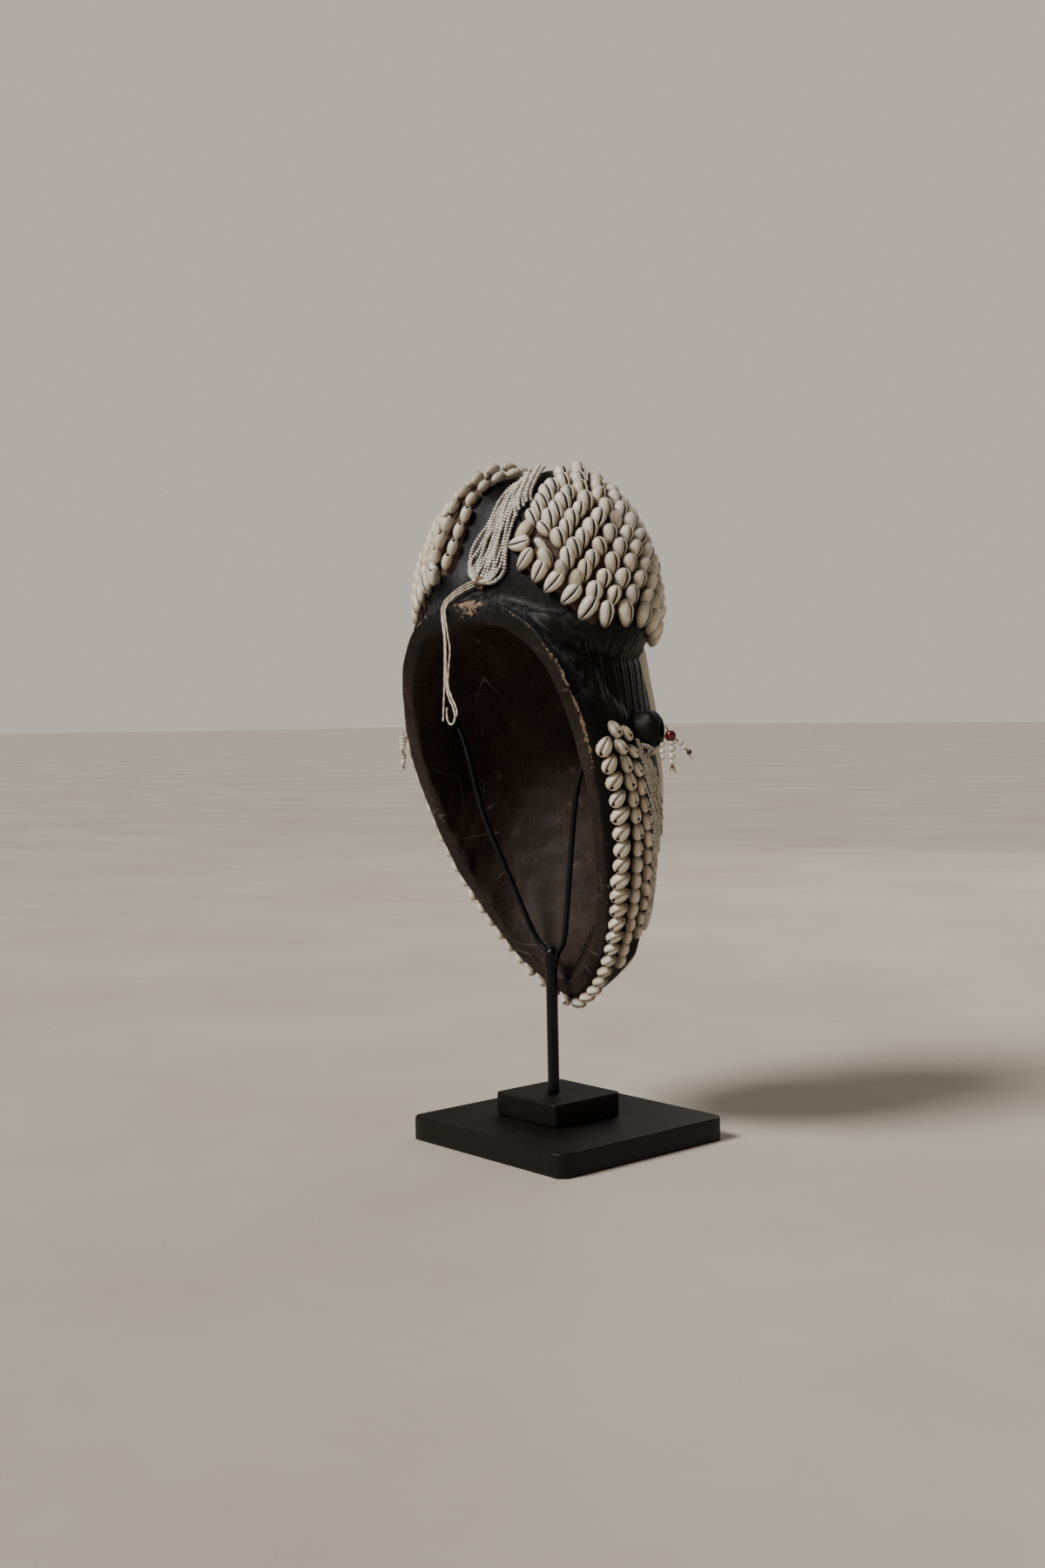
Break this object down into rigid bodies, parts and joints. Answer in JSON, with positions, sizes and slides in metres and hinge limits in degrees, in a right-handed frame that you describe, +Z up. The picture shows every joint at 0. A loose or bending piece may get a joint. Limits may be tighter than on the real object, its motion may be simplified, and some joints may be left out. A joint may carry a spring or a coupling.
{
  "type": "beaded face mask on stand",
  "caption": "Carved wooden face mask with a two-lobed coiffure, cowrie shells, seed-bead strands and bead pendants, held by a wire fork on a rod above a black block and plate.",
  "frame": {"origin": "centre of the underside of the square plate", "axes": "+Z up, the mask faces -Y, the mask's proper right side is on -X; the mask and fork stand over the block, a little off the plate's middle"},
  "size_m": [0.2325, 0.1588, 0.4533],
  "materials": {
    "board": "black satin paint on smooth board",
    "steel": "black satin paint on steel rod and wire",
    "carved_wood": "hand-carved, black and dark brown patina, pale painted face, worn along the rim",
    "cowrie": "natural cream shell, satin, with grey-brown dirt in the slits",
    "seed_bead": "off-white opaque seed beads, satin, dusty",
    "red_bead": "dark red opaque bead with off-white beads",
    "cotton": "twisted undyed cotton thread, matte"
  },
  "bodies": {
    "root": {"base_plate": "board", "base_block": "board", "support_fork": "steel", "carved_mask": "carved_wood", "cowrie_field_right": "cowrie", "cowrie_field_left": "cowrie", "cowrie_jaw_row": "cowrie", "cowrie_cheek_row_outer_left": "cowrie", "cowrie_cheek_row_inner_left": "cowrie", "cowrie_cheek_row_outer_right": "cowrie", "cowrie_cheek_row_inner_right": "cowrie", "bead_panel_left": "seed_bead", "bead_panel_right": "seed_bead", "bead_band": "seed_bead", "ear_pendant_right": "red_bead", "ear_pendant_left": "seed_bead", "tie_strand_1": "cotton", "tie_strand_2": "cotton", "tie_strand_3": "cotton"}
  },
  "joints": []
}
